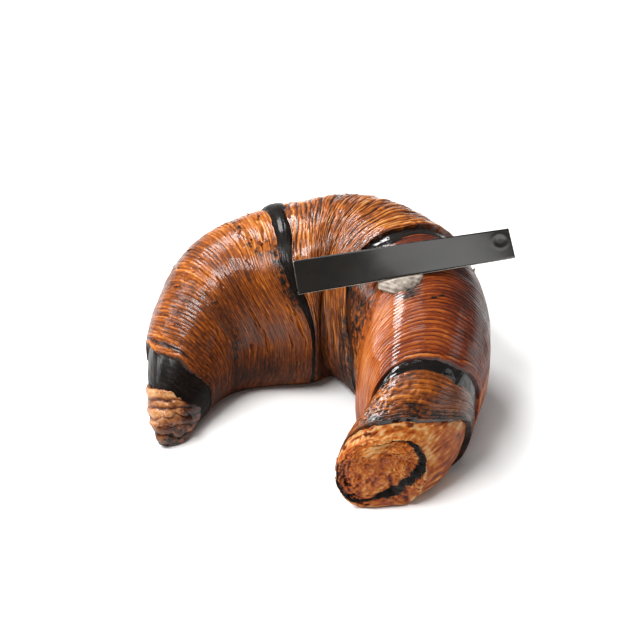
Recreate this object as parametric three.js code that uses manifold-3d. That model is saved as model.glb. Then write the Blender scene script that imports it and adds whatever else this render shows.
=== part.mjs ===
// A black sesame croissant with a bare name strip stuck on a dab of cream.
// Millimetres, +Z up. The croissant stands on z = 0 and its two arms open towards -Y.
import * as THREE from 'three';
import * as BufferGeometryUtils from 'three/addons/utils/BufferGeometryUtils.js';
import Module from 'manifold-3d';

const wasm = await Module();
wasm.setup();

// ---- the roll's form, mm -------------------------------------------------------------------
const LEFT_REACH = 60.5;           // outer curve, centre to its leftmost point
const RIGHT_REACH = 59;            // outer curve, centre to its rightmost point
const BACK_REACH = 57;             // outer curve, centre to its back
const OUTER_CENTRE_Y = -17;        // where the outer curve's centre stands
const TIP_ANGLE = 231;             // degrees round the outer curve, at the left tip
const END_ANGLE = -29;             // degrees round the outer curve, at the right end
const END_FLARE = 4;               // the outer side stands out this much more at the right end
const END_FLARE_SPAN = [0.87, 0.97];   // where along the roll that flare grows
const TIP_FLARE = 2;               // and this much more at the left tip, which is blunt
const TIP_FLARE_SPAN = [0.1, 0];   // where it grows, towards the tip
const BELLY = 0.56;                // half height of a section in the body, as a share of its height
const END_BELLY = 0.52;            // and at the two ends, which are rounder underneath
const SQUARENESS = 2.28;           // superellipse power of a section
const SIDES = 38;                  // points round a section

// The inner curve at even steps along the roll, from the left tip (0) to the right end (1):
// where the wall of the bay stands, and how tall the roll is there.
const INNER = [
  { x: -31, y: -52, tall: 14.5 },
  { x: -24, y: -28.5, tall: 48.5 },
  { x: -3, y: -16.5, tall: 59 },
  { x: -1, y: -10, tall: 63.5 },
  { x: 19.5, y: -27, tall: 61 },
  { x: 28, y: -62.5, tall: 31 },
];

// ---- the wraps ------------------------------------------------------------------------------
// Each edge of a wrap crosses the roll on a slant. These are its places along the roll, read at
// the outer side, the outer shoulder, the crest, the inner shoulder and the inner side.
const EDGE_ANGLES = [0, 50, 90, 135, 180];
const EDGES = {
  tip: [0, 0, 0, 0, 0],
  patchFoot: [0.08, 0.047, 0.03, 0.008, 0.034],
  patchHead: [0.125, 0.087, 0.07, 0.062, 0.086],
  tuck: [0.165, 0.16, 0.157, 0.163, 0.18],
  leftBandStart: [0.415, 0.4, 0.384, 0.362, 0.414],
  leftBandStop: [0.43, 0.415, 0.402, 0.386, 0.44],
  rightBandStart: [0.7, 0.68, 0.67, 0.662, 0.735],
  rightBandStop: [0.735, 0.715, 0.692, 0.68, 0.755],
  lowBandStart: [0.885, 0.905, 0.905, 0.925, 0.945],
  lowBandStop: [0.912, 0.92, 0.918, 0.942, 0.962],
  mouth: [0.925, 0.972, 0.982, 0.981, 0.985],
  end: [1, 1, 1, 1, 1],
};
const UNDER_TURNS = [230, 310];    // degrees: under the roll an edge runs back between these turns
const STEP = 0.0012;               // half the run of the step between two wraps, along the roll
const RIDGE = 0.28;                // half height of the pleats of the laminated dough
const BASE_FADE = 7;               // height over which the relief grows from the flat underside

// from, to: edges. rings: sections. start, stop: level of the two edges over the plain roll.
// bulge: extra height in the middle. pleated: whether its layers show as ridges.
const WRAPS = [
  { from: 'tip', to: 'patchFoot', rings: 6, start: -0.5, stop: -1.1, bulge: 0.5, pleated: true },
  { from: 'patchFoot', to: 'patchHead', rings: 4, start: -1.5, stop: -1.6, bulge: 0.4 },
  { from: 'patchHead', to: 'tuck', rings: 9, start: 0.3, stop: -0.4, bulge: 0.4, pleated: true },
  { from: 'tuck', to: 'leftBandStart', rings: 21, start: 0.4, stop: -0.5, bulge: 0.6, pleated: true },
  { from: 'leftBandStart', to: 'leftBandStop', rings: 3, start: -1.1, stop: -1.1, bulge: 0.4 },
  { from: 'leftBandStop', to: 'rightBandStart', rings: 21, start: 0.1, stop: 0.8, bulge: 0.4, pleated: true },
  { from: 'rightBandStart', to: 'rightBandStop', rings: 3, start: -1.8, stop: -1.8, bulge: 0.4 },
  { from: 'rightBandStop', to: 'lowBandStart', rings: 19, start: -1.1, stop: 0.7, bulge: 0.8, pleated: true },
  { from: 'lowBandStart', to: 'lowBandStop', rings: 3, start: -1.7, stop: -1.7, bulge: 0.5 },
  { from: 'lowBandStop', to: 'mouth', rings: 6, start: -1.2, stop: 0.6, bulge: 0.6, pleated: true },
  { from: 'mouth', to: 'end', rings: 6, start: -1.6, stop: -1, bulge: 0.5, pleated: true },
];

// The inner side of the bend, where the layers crowd and the relief is lower.
const INSIDE_COMES = [100, 160];   // degrees: where it begins, and where it is full
const INSIDE_GOES = [230, 270];    // and where it ends again, under the roll
const CROWDING = 0.75;             // share of the relief that is lost there
const PLEAT_LEAST = 0.6;           // each pleat is between this share of the ridge height
const PLEAT_SPREAD = 0.8;          // and this much more
const PLEAT_DRIFT = 0.13;          // how fast a pleat's height changes round the section

// The right arm's inner side draws in to a waist where its last wrap begins.
const WAIST_AT = 0.92;
const WAIST_LENGTH = 0.035;
const WAIST_DEPTH = 6;

// ---- the two ends -----------------------------------------------------------------------------
const TIP_DOME = 2;                // how far the left tip's end stands out
const TIP_RINGS = 4;
const TIP_LEDGE = 0.4;             // step between the torn layers of the tip
const TIP_BLUNTNESS = 0.7;         // power below 1 keeps the tip's end blunt
const END_DOME = 3;                // how far the right end's spiral face stands out
const END_RINGS = 11;
const END_BLUNTNESS = 0.9;         // power below 1 keeps the face's rim full
const CORE_SPARE = 0.6;            // rings' worth of radius left for the middle of the face
const CORE_ASIDE = -0.5;           // the spiral's core, beside the middle of the face
const CORE_UP = 2.5;               // and above it
const CORE_SINK = 1.3;             // how deep the core lies inside the black layer
const SPIRAL_START = 180;          // degrees: the black layer leaves the rim on the inner side
const SPIRAL_TURN = 330;           // degrees that it winds inwards
const SPIRAL_REACH = 0.5;          // share of the face's radius that it crosses
const SPIRAL_POWER = 2.6;          // it hugs the rim first and turns in late
const GROOVE_DEPTH = 1.2;
const GROOVE_WIDTH = 0.08;         // share of the face's radius
const CORE_CALM = 0.35;            // share of the radius inside which the core is level
const SPIRAL_FADE = 0.25;          // share of its length over which the groove comes and goes

// ---- the strip and the cream --------------------------------------------------------------------
const STRIP_LEFT = new THREE.Vector3(0.5, -31.9, 58.2);      // lower left corner
const STRIP_RIGHT = new THREE.Vector3(60.9, 5.8, 67);        // lower right corner
const STRIP_WIDTH = 11.2;
const STRIP_THICKNESS = 0.6;
const STRIP_LEAN_LEFT = 45;        // degrees from flat, at the left end
const STRIP_LEAN_RIGHT = 24;       // and at the right end, so that the strip is a little twisted
const STRIP_STEPS = 20;
const CREAM_PLACE = new THREE.Vector3(28.4, -12.4, 60);
const CREAM_RADII = new THREE.Vector3(7.6, 7, 4.6);
const CREAM_LUMP = 0.09;           // share of the radius
const GAP = 0.3;                   // clearance where the cream meets the crust and the strip

const radians = Math.PI / 180;
const lerp = (a, b, t) => a + (b - a) * t;
const clamp = (v, low, high) => Math.min(high, Math.max(low, v));
const smooth = (t) => t * t * (3 - 2 * t);
const rampUp = (v, low, high) => smooth(clamp((v - low) / (high - low), 0, 1));

// A repeatable random number from 0 to 1 for a whole number.
function scatter(n) {
  const wave = Math.sin(n * 127.1 + 11.7) * 43758.5453;
  return wave - Math.floor(wave);
}

// ---- the plain roll ---------------------------------------------------------------------------
const innerCurve = new THREE.CatmullRomCurve3(
  INNER.map((stop) => new THREE.Vector3(stop.x, stop.y, stop.tall)), false, 'catmullrom', 0.5);

// The upright frame of one section: its two feet, the way across and how tall it is.
function frameAt(u) {
  const angle = lerp(TIP_ANGLE, END_ANGLE, u) * radians;
  const flare = END_FLARE * rampUp(u, ...END_FLARE_SPAN) + TIP_FLARE * rampUp(u, ...TIP_FLARE_SPAN);
  const reach = (Math.cos(angle) < 0 ? LEFT_REACH : RIGHT_REACH) + flare;
  const back = BACK_REACH + flare;
  const outer = new THREE.Vector2(reach * Math.cos(angle), OUTER_CENTRE_Y + back * Math.sin(angle));
  const stop = innerCurve.getPoint(clamp(u, 0, 1));
  const inner = new THREE.Vector2(stop.x, stop.y);
  const across = outer.clone().sub(inner);
  const halfWidth = across.length() / 2;
  across.normalize();
  const middle = outer.add(inner).multiplyScalar(0.5);
  const half = stop.z * lerp(BELLY, END_BELLY, Math.abs(2 * u - 1) ** 4);
  return { middle, across, halfWidth, tall: stop.z, half };
}

// A point of the roll. turn 0 is the outer side, 90 the crest and 180 the inner side.
function rollPoint(u, turn, level) {
  const { middle, across, halfWidth, tall, half } = frameAt(u);
  const c = Math.cos(turn * radians);
  const s = Math.sin(turn * radians);
  const power = 2 / SQUARENESS;
  const out = halfWidth * Math.sign(c) * Math.abs(c) ** power;
  const up = half * Math.sign(s) * Math.abs(s) ** power;
  const slope = new THREE.Vector2(out / halfWidth ** 2, up / half ** 2).normalize();
  const z = tall - half + up;
  const rise = level * rampUp(z, 0, BASE_FADE);
  const reach = out + slope.x * rise;
  const height = Math.max(z + slope.y * rise, 0);
  return new THREE.Vector3(middle.x + across.x * reach, middle.y + across.y * reach, height);
}

// ---- wraps along the roll ------------------------------------------------------------------------
const edgeCurves = {};
for (const [name, places] of Object.entries(EDGES)) {
  const points = places.map((place, i) => new THREE.Vector2(EDGE_ANGLES[i], place));
  edgeCurves[name] = new THREE.SplineCurve(points);
}

// Where an edge lies along the roll at a turn; under the roll it runs back from inside to outside.
function edgeAt(name, turn) {
  const places = EDGES[name];
  if (turn > 180) return lerp(places[places.length - 1], places[0], rampUp(turn, ...UNDER_TURNS));
  let stretch = 0;
  while (turn > EDGE_ANGLES[stretch + 1]) stretch += 1;
  const t = (turn - EDGE_ANGLES[stretch]) / (EDGE_ANGLES[stretch + 1] - EDGE_ANGLES[stretch]);
  return edgeCurves[name].getPoint((stretch + t) / (EDGE_ANGLES.length - 1)).y;
}

function wrapRing(wrap, ring, number) {
  const t = ring / (wrap.rings - 1);
  const pleat = wrap.pleated && ring > 0 && ring < wrap.rings - 1 ? (ring % 2 ? -1 : 1) : 0;
  const points = [];
  for (let side = 0; side < SIDES; side += 1) {
    const turn = side / SIDES * 360;
    const from = edgeAt(wrap.from, turn) + (wrap.from === 'tip' ? 0 : STEP);
    const to = edgeAt(wrap.to, turn) - (wrap.to === 'end' ? 0 : STEP);
    const u = lerp(from, to, t);
    const spacing = (to - from) / (wrap.rings - 1) * 2 * Math.PI * frameAt(u).halfWidth;
    const inside = rampUp(turn, ...INSIDE_COMES) * (1 - rampUp(turn, ...INSIDE_GOES));
    const crowding = 1 - inside * CROWDING;
    const unevenness = PLEAT_LEAST + PLEAT_SPREAD * scatter(number + side * PLEAT_DRIFT);
    const ridge = pleat * RIDGE * unevenness * crowding * clamp(spacing, 0, 1);
    const waist = WAIST_DEPTH * inside * Math.exp(-(((u - WAIST_AT) / WAIST_LENGTH) ** 2));
    const level = lerp(wrap.start, wrap.stop, t) + wrap.bulge * Math.sin(Math.PI * t);
    points.push(rollPoint(u, turn, level * crowding + ridge - waist));
  }
  return points;
}

// ---- ends ---------------------------------------------------------------------------------------
const centroid = (ring) => ring.reduce((sum, p) => sum.add(p), new THREE.Vector3()).divideScalar(ring.length);

// The way that the roll leaves its last section, level with the table.
function headingAt(u) {
  const { across } = frameAt(u);
  return new THREE.Vector3(across.y, -across.x, 0);
}

function tipRings(rim) {
  const core = centroid(rim);
  const heading = headingAt(0).negate();
  const rings = [];
  for (let k = 1; k <= TIP_RINGS; k += 1) {
    const t = k / (TIP_RINGS + 1);
    const share = Math.cos(t * Math.PI / 2) ** TIP_BLUNTNESS;
    const ledge = k % 2 ? TIP_LEDGE : 0;
    const forward = TIP_DOME * Math.sin(t * Math.PI / 2) - ledge;
    rings.unshift(rim.map((p) => onFloor(core.clone().lerp(p, share).addScaledVector(heading, forward))));
  }
  return rings;
}

const onFloor = (p) => p.setZ(Math.max(p.z, 0));

// How much the black layer's groove and the sunk core lower the face, at a share of its radius.
function spiralRelief(share, turn) {
  let drop = 0;
  for (const winding of [turn, turn + 360]) {
    const along = (winding - SPIRAL_START) / SPIRAL_TURN;
    if (along < 0 || along > 1) continue;
    const line = 1 - SPIRAL_REACH * along ** SPIRAL_POWER;
    const inwards = (line - share) / GROOVE_WIDTH;
    const fade = rampUp(along, 0, SPIRAL_FADE) * rampUp(1 - along, 0, SPIRAL_FADE);
    drop += fade * (GROOVE_DEPTH * Math.exp(-inwards * inwards) + CORE_SINK * rampUp(inwards, 0, 1));
  }
  return drop * rampUp(share, 0, CORE_CALM);
}

function endRings(rim) {
  const heading = headingAt(1);
  const { across } = frameAt(1);
  const core = centroid(rim).add(new THREE.Vector3(across.x * CORE_ASIDE, across.y * CORE_ASIDE, CORE_UP));
  const rings = [];
  for (let k = 1; k <= END_RINGS; k += 1) {
    const share = 1 - k / (END_RINGS + CORE_SPARE);
    rings.push(rim.map((p, side) => {
      const swell = END_DOME * Math.sqrt(1 - share ** 2) ** END_BLUNTNESS;
      const drop = spiralRelief(share, side / SIDES * 360);
      return onFloor(core.clone().lerp(p, share).addScaledVector(heading, swell - drop));
    }));
  }
  return rings;
}

// ---- solids --------------------------------------------------------------------------------------
// Closed rings joined in order, with a fan at each end.
function loft(rings) {
  const count = rings[0].length;
  const last = rings.length - 1;
  const points = rings.flat();
  points.push(centroid(rings[0]), centroid(rings[last]));
  const indices = [];
  for (let side = 0; side < count; side += 1) {
    const next = (side + 1) % count;
    for (let ring = 0; ring < last; ring += 1) {
      const a = ring * count + side;
      const b = ring * count + next;
      indices.push(a, b, a + count, b, b + count, a + count);
    }
    indices.push(points.length - 2, next, side, points.length - 1, last * count + side, last * count + next);
  }
  const geometry = new THREE.BufferGeometry().setFromPoints(points);
  geometry.setIndex(indices);
  return geometry;
}

// The croissant, or the croissant grown by a clearance for the cream to be cut with.
function croissantGeometry(grow = 0) {
  const rings = [];
  for (const wrap of WRAPS) {
    const level = { ...wrap, start: wrap.start + grow, stop: wrap.stop + grow };
    for (let ring = 0; ring < wrap.rings; ring += 1) rings.push(wrapRing(level, ring, rings.length));
  }
  return loft([...tipRings(rings[0]), ...rings, ...endRings(rings[rings.length - 1])]);
}

// The strip is a thin twisted plate, closed all round. It grows by the same clearance, and by
// a depth in front of its face, for the cream to be cut with.
function stripGeometry(grow = 0, front = 0) {
  const along = STRIP_RIGHT.clone().sub(STRIP_LEFT);
  const run = along.clone().normalize();
  const level = new THREE.Vector3(-run.y, run.x, 0).normalize();
  const upright = new THREE.Vector3().crossVectors(run, level);
  const rings = [];
  for (let step = 0; step <= STRIP_STEPS; step += 1) {
    const t = step / STRIP_STEPS;
    const lean = lerp(STRIP_LEAN_LEFT, STRIP_LEAN_RIGHT, t) * radians;
    const wide = level.clone().multiplyScalar(Math.cos(lean)).addScaledVector(upright, Math.sin(lean));
    const outward = new THREE.Vector3().crossVectors(run, wide);
    const stretch = t === 0 ? -grow : t === 1 ? grow : 0;
    const foot = STRIP_LEFT.clone().addScaledVector(along, t).addScaledVector(run, stretch);
    const corner = (w, n) => foot.clone().addScaledVector(wide, w).addScaledVector(outward, n);
    const back = -STRIP_THICKNESS / 2 - grow;
    const face = STRIP_THICKNESS / 2 + grow + front;
    rings.push([
      corner(-grow, back), corner(STRIP_WIDTH / 2, back), corner(STRIP_WIDTH + grow, back),
      corner(STRIP_WIDTH + grow, face), corner(STRIP_WIDTH / 2, face), corner(-grow, face),
    ]);
  }
  return loft(rings);
}

function creamGeometry() {
  const blob = new THREE.SphereGeometry(1, 22, 14);
  blob.rotateX(Math.PI / 2);
  const place = blob.attributes.position;
  for (let i = 0; i < place.count; i += 1) {
    const p = new THREE.Vector3().fromBufferAttribute(place, i);
    const lump = 1 + CREAM_LUMP * (Math.sin(5 * p.x + 2) * Math.cos(4 * p.y) + Math.sin(6 * p.z + 3 * p.x));
    p.multiplyScalar(lump).multiply(CREAM_RADII).add(CREAM_PLACE);
    place.setXYZ(i, p.x, p.y, p.z);
  }
  return blob;
}

function toSolid(geometry) {
  const bare = geometry.clone();
  bare.deleteAttribute('normal');
  bare.deleteAttribute('uv');
  const merged = BufferGeometryUtils.mergeVertices(bare, 1e-4);
  return new wasm.Manifold(new wasm.Mesh({
    numProp: 3,
    vertProperties: new Float32Array(merged.attributes.position.array),
    triVerts: new Uint32Array(merged.index.array),
  }));
}

function toGeometry(solid) {
  const mesh = solid.getMesh();
  const geometry = new THREE.BufferGeometry();
  geometry.setAttribute('position', new THREE.BufferAttribute(mesh.vertProperties, 3));
  geometry.setIndex(new THREE.BufferAttribute(mesh.triVerts, 1));
  return geometry;
}

// ---- the group -------------------------------------------------------------------------------------
const crust = new THREE.MeshStandardMaterial({ color: '#7a3a18', roughness: 0.35, metalness: 0 });
const cream = new THREE.MeshStandardMaterial({ color: '#b9ac9c', roughness: 0.8, metalness: 0 });
const plastic = new THREE.MeshStandardMaterial({ color: '#2a2520', roughness: 0.3, metalness: 0 });

const croissantMesh = new THREE.Mesh(croissantGeometry(), crust);
croissantMesh.name = 'croissant';
const stripMesh = new THREE.Mesh(stripGeometry(), plastic);
stripMesh.name = 'name_strip';
const dab = toSolid(creamGeometry())
  .subtract(toSolid(croissantGeometry(GAP)))
  .subtract(toSolid(stripGeometry(GAP, CREAM_RADII.x)));
const creamMesh = new THREE.Mesh(toGeometry(dab), cream);
creamMesh.name = 'cream_dab';

const group = new THREE.Group();
group.add(croissantMesh, creamMesh, stripMesh);

// The origin is the middle of the footprint, on the table.
const middle = new THREE.Box3().setFromObject(group).getCenter(new THREE.Vector3());
group.position.set(-middle.x, -middle.y, 0);

export default group;
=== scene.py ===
"""A black sesame croissant: glazed laminated crust in overlapping wraps, black sesame dough
showing between them, a spiral end, a torn tip, and a bare name strip on a dab of cream."""
import math

import bpy
import numpy as np
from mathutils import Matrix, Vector


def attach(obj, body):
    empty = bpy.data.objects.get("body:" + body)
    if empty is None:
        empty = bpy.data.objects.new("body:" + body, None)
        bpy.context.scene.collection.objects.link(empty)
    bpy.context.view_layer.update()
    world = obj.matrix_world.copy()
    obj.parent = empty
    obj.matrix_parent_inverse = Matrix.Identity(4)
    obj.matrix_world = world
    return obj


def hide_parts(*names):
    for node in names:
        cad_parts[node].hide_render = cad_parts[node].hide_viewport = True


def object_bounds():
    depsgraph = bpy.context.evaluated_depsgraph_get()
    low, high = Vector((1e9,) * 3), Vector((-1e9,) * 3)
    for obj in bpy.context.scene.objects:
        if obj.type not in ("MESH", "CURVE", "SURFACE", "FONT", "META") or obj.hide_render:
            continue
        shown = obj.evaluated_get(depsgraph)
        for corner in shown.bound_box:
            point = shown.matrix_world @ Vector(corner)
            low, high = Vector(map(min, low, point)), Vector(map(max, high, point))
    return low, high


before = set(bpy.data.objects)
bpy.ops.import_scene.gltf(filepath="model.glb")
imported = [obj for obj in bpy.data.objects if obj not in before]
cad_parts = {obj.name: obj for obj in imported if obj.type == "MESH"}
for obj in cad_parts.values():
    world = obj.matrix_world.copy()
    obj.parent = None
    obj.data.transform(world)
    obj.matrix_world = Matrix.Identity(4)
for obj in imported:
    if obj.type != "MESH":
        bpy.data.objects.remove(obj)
cad_low, cad_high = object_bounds()

# ---- the roll's form, millimetres: the same curves as the solid it dresses --------------------
MM = 0.001
MODEL_SHIFT = (0.113, 10.878)      # from the curves' own frame to the middle of the footprint
LEFT_REACH = 60.5                  # how far the outer side lies from its centre, each way
RIGHT_REACH = 59.0
BACK_REACH = 57.0
OUTER_CENTRE_Y = -17.0
TIP_ANGLE = 231.0                  # degrees round that centre, at the left tip and the right end
END_ANGLE = -29.0
END_FLARE = 4.0                    # how much further out each end lies, over a share of the roll
END_FLARE_SPAN = (0.87, 0.97)
TIP_FLARE = 2.0
TIP_FLARE_SPAN = (0.1, 0)
BELLY = 0.56                       # where a section is widest, from the top, as a share of its height
END_BELLY = 0.52
SQUARENESS = 2.28                  # a section's power: 2 is an ellipse
BASE_FADE = 7.0                    # relief fades out below this height
CREST_LENGTH = 214.0               # along the crest, from the tip to the right end
# The inner side of the bend at even steps: x, y and the roll's height there.
INNER = np.array([(-31, -52, 14.5), (-24, -28.5, 48.5), (-3, -16.5, 59),
                  (-1, -10, 63.5), (19.5, -27, 61), (28, -62.5, 31)], float)

# Places of the wraps' edges along the roll, at these turns round it. The left band's edges and
# the patch's foot lie a few mm nearer the left tip than the solid's own low relief has them.
EDGE_ANGLES = (0, 50, 90, 135, 180)
UNDER_TURNS = (230, 310)           # where an edge crosses over on the underside
EDGES = {
    "tip": (0, 0, 0, 0, 0),
    "patch_foot": (0.064, 0.036, 0.024, 0.01, 0.036),
    "patch_head": (0.125, 0.087, 0.07, 0.062, 0.086),
    "tuck": (0.165, 0.16, 0.157, 0.163, 0.18),
    "left_band_start": (0.38, 0.368, 0.362, 0.344, 0.408),
    "left_band_stop": (0.404, 0.393, 0.386, 0.374, 0.428),
    "right_band_start": (0.7, 0.68, 0.67, 0.662, 0.735),
    "right_band_stop": (0.735, 0.715, 0.692, 0.68, 0.755),
    "low_band_start": (0.885, 0.905, 0.905, 0.925, 0.945),
    "low_band_stop": (0.912, 0.92, 0.918, 0.942, 0.962),
    "mouth": (0.925, 0.972, 0.982, 0.981, 0.985),
    "end": (1, 1, 1, 1, 1),
}
INSIDE_COMES = (100, 160)          # turns where the inner side of the bend begins and is full
INSIDE_GOES = (230, 270)
CROWDING = 0.75                    # how much of the relief the bend takes away there
WAIST_AT = 0.92                    # the right arm's waist: share of the roll, reach and depth
WAIST_LENGTH = 0.035
WAIST_DEPTH = 6.0
END_DOME = 3.0                     # how far the cut end swells
END_BLUNTNESS = 0.9
CORE_ASIDE = -0.5                  # the spiral's core, from the middle of the cut end
CORE_UP = 2.5

SIDES = 320                        # points round a wrap
# Share of those points up to each turn: they are further apart on the underside.
POINT_SHARES = (0, 0.78, 0.9, 1)
POINT_TURNS = (0, 215, 325, 360)
WALL_DEPTH = 4.0                   # how far a wrap's torn edge goes down under its neighbour


# ---- numbers ----------------------------------------------------------------------------------
def lerp(a, b, t):
    return a + (b - a) * t


def ramp(value, low, high):
    t = np.clip((value - low) / (high - low), 0, 1)
    return t * t * (3 - 2 * t)


def bump(value, middle, width):
    return np.exp(-((value - middle) / width) ** 2)


def sloped_curve(w, start, stop, start_slope, stop_slope):
    """A smooth curve from start (w = 0) to stop (w = 1) with the slopes given."""
    near = (2 * w ** 3 - 3 * w ** 2 + 1) * start + (w ** 3 - 2 * w ** 2 + w) * start_slope
    return near + (3 * w ** 2 - 2 * w ** 3) * stop + (w ** 3 - w ** 2) * stop_slope


def curve_through(stops, t):
    """A smooth curve through evenly spaced stops, for t from 0 to 1."""
    row = np.concatenate([[2 * stops[0] - stops[1]], stops, [2 * stops[-1] - stops[-2]]])
    place = np.clip(t, 0, 1) * (len(stops) - 1)
    k = np.minimum(place.astype(int), len(stops) - 2)
    before, start, stop, after = (row[k + i] for i in range(4))
    return sloped_curve((place - k)[..., None], start, stop, (stop - before) / 2, (after - start) / 2)


WORD, HALF_WORD = 0xFFFFFFFF, 0xFFFF
STIR_X, STIR_Y, STIR_SEED, STIR_AGAIN = 374761393, 668265263, 1442695041, 1274126177


def lattice(ix, iy, seed):
    """A repeatable random number from 0 to 1 for a whole-number place."""
    h = (ix * STIR_X + iy * STIR_Y + seed * STIR_SEED) & WORD
    h = ((h ^ (h >> 13)) * STIR_AGAIN) & WORD
    return ((h ^ (h >> 16)) & HALF_WORD) / HALF_WORD


def noise(x, y, seed, period=None):
    """Smooth noise from -1 to 1, one bump per unit. It repeats in y after the period."""
    x, y = np.broadcast_arrays(np.asarray(x, float), np.asarray(y, float))
    ix, iy = np.floor(x).astype(np.int64), np.floor(y).astype(np.int64)
    fx, fy = x - ix, y - iy
    wx, wy = fx * fx * (3 - 2 * fx), fy * fy * (3 - 2 * fy)
    low, high = (iy, iy + 1) if period is None else (iy % period, (iy + 1) % period)
    near = lerp(lattice(ix, low, seed), lattice(ix + 1, low, seed), wx)
    far = lerp(lattice(ix, high, seed), lattice(ix + 1, high, seed), wx)
    return 2 * lerp(near, far, wy) - 1


OCTAVE_SUM = 1.75                  # 1 + 1/2 + 1/4, which three octaves add up to


def fractal(octave_noise, octaves):
    """Noise in octaves, each twice as fine and half as strong as the one before."""
    return sum(octave_noise(2 ** k, k) * 0.5 ** k for k in range(octaves)) / OCTAVE_SUM


def rough(along, turn, length, cells, seed, octaves=3):
    """Fractal noise on the roll: cells of the given length in mm, and so many round it."""
    return fractal(lambda fine, k: noise(along / length * fine, turn / 360 * cells * fine, seed + k,
                                         cells * fine), octaves)


CRUMB_SHIFT = (31, 17)             # where in the noise a plane starts, in cells


def crumbs(x, y, size, seed, octaves=3):
    """Fractal noise in a plane, with cells of a size in mm."""
    return fractal(lambda fine, k: noise(x / size * fine + CRUMB_SHIFT[0], y / size * fine + CRUMB_SHIFT[1],
                                         seed + k), octaves)


# ---- the plain roll ---------------------------------------------------------------------------
def frame_at(u):
    """The roll at a share u of its length: its middle, the way out across it, half its width,
    its height and half the height of its section."""
    angle = np.radians(lerp(TIP_ANGLE, END_ANGLE, u))
    flare = END_FLARE * ramp(u, *END_FLARE_SPAN) + TIP_FLARE * ramp(u, *TIP_FLARE_SPAN)
    reach = np.where(np.cos(angle) < 0, LEFT_REACH, RIGHT_REACH) + flare
    back = BACK_REACH + flare
    outer = np.stack([reach * np.cos(angle), OUTER_CENTRE_Y + back * np.sin(angle)], -1)
    inner = curve_through(INNER, u)
    across = outer - inner[..., :2]
    width = np.linalg.norm(across, axis=-1)
    half = inner[..., 2] * lerp(BELLY, END_BELLY, np.abs(2 * u - 1) ** 4)
    return (outer + inner[..., :2]) / 2, across / width[..., None], width / 2, inner[..., 2], half


def roll_point(u, turn, rise):
    """Points of the roll raised by so many mm. Turn 0 is the outer side, 90 the crest."""
    middle, across, half_width, tall, half = frame_at(u)
    c, s = np.cos(np.radians(turn)), np.sin(np.radians(turn))
    power = 2 / SQUARENESS
    out = half_width * np.sign(c) * np.abs(c) ** power
    up = half * np.sign(s) * np.abs(s) ** power
    lean_out, lean_up = out / half_width ** 2, up / half ** 2
    lean = np.hypot(lean_out, lean_up)
    z = tall - half + up
    lift = rise * ramp(z, 0, BASE_FADE)
    xy = middle + across * (out + lean_out / lean * lift)[..., None]
    return np.concatenate([xy, np.maximum(z + lean_up / lean * lift, 0)[..., None]], -1)


def smooth_line(value, places, heights):
    """A curve without kinks through unevenly spaced points."""
    places, heights = np.array(places, float), np.array(heights, float)
    slopes = np.gradient(heights, places)
    k = np.clip(np.searchsorted(places, value, side="right") - 1, 0, len(places) - 2)
    span = places[k + 1] - places[k]
    return sloped_curve((value - places[k]) / span, heights[k], heights[k + 1], span * slopes[k],
                        span * slopes[k + 1])


def edge_at(name, turn):
    """The place along the roll of a wrap's edge, at each turn."""
    places = EDGES[name]
    under = lerp(places[-1], places[0], ramp(turn, *UNDER_TURNS))
    return np.where(turn > 180, under, smooth_line(np.minimum(turn, 180), EDGE_ANGLES, places))


def inside(turn):
    """1 on the inner side of the bend."""
    return ramp(turn, *INSIDE_COMES) * (1 - ramp(turn, *INSIDE_GOES))


def crowded(level, u, turn):
    """A level eased on the inner side of the bend, and the waist of the right arm."""
    waist = WAIST_DEPTH * inside(turn) * bump(u, WAIST_AT, WAIST_LENGTH)
    return level * (1 - CROWDING * inside(turn)) - waist


LINE_FADE = 8                      # degrees over which a line ends


def across_line(u, turn, stops, width):
    """1 on a line that crosses the roll through (turn, u) stops, fading over a width in mm."""
    turns, places = zip(*stops)
    line = np.interp(turn, turns, places)
    ends = ramp(turn, turns[0] - LINE_FADE, turns[0]) * (1 - ramp(turn, turns[-1], turns[-1] + LINE_FADE))
    return bump((u - line) * CREST_LENGTH, 0, width) * ends


def spot(u, turn, at_u, at_turn, wide, high):
    """1 at a place on the roll, fading over so many mm along it and degrees round it."""
    return bump((u - at_u) * CREST_LENGTH, 0, wide) * bump(turn, at_turn, high)


# ---- dough layers -----------------------------------------------------------------------------
SHEET_STRIDE = 7.31                # steps through the noise from one layer to the next, so that
CORD_STRIDE = 5.17                 # no two of them swell alike
TORN_FROM = (0.35, 0.45)           # a scrap is gone where the noise passes between these
HOLLOW_DEPTH = 0.22                # mm
HOLLOW_RANGE = (-0.7, 1.5)
HOLLOW_REACH = (5, 3)              # points to each side that a hollow is judged by


def shingles(phase, turn, cells, seed, lip):
    """Overlapping sheets of dough: each rises at its torn edge and slopes down to the next.
    How far a sheet stands out drifts round the roll."""
    sheet = np.floor(phase)
    along = phase - sheet
    height = 0.55 + 0.45 * noise(sheet * SHEET_STRIDE + 0.5, turn / 360 * cells, seed, cells)
    return height * ramp(along, 0, lip) * (1 - along) ** 0.8


def cords(phase, turn, cells, seed):
    """Rounded ridges with a narrow groove between them. Some stand out more than others."""
    ridge = np.floor(phase)
    along = phase - ridge
    height = 0.62 + 0.38 * noise(ridge * CORD_STRIDE + 0.5, turn / 360 * cells, seed, cells)
    return height * (1 - np.abs(2 * along - 1) ** 4) * (1 - 0.3 * along)


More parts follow.
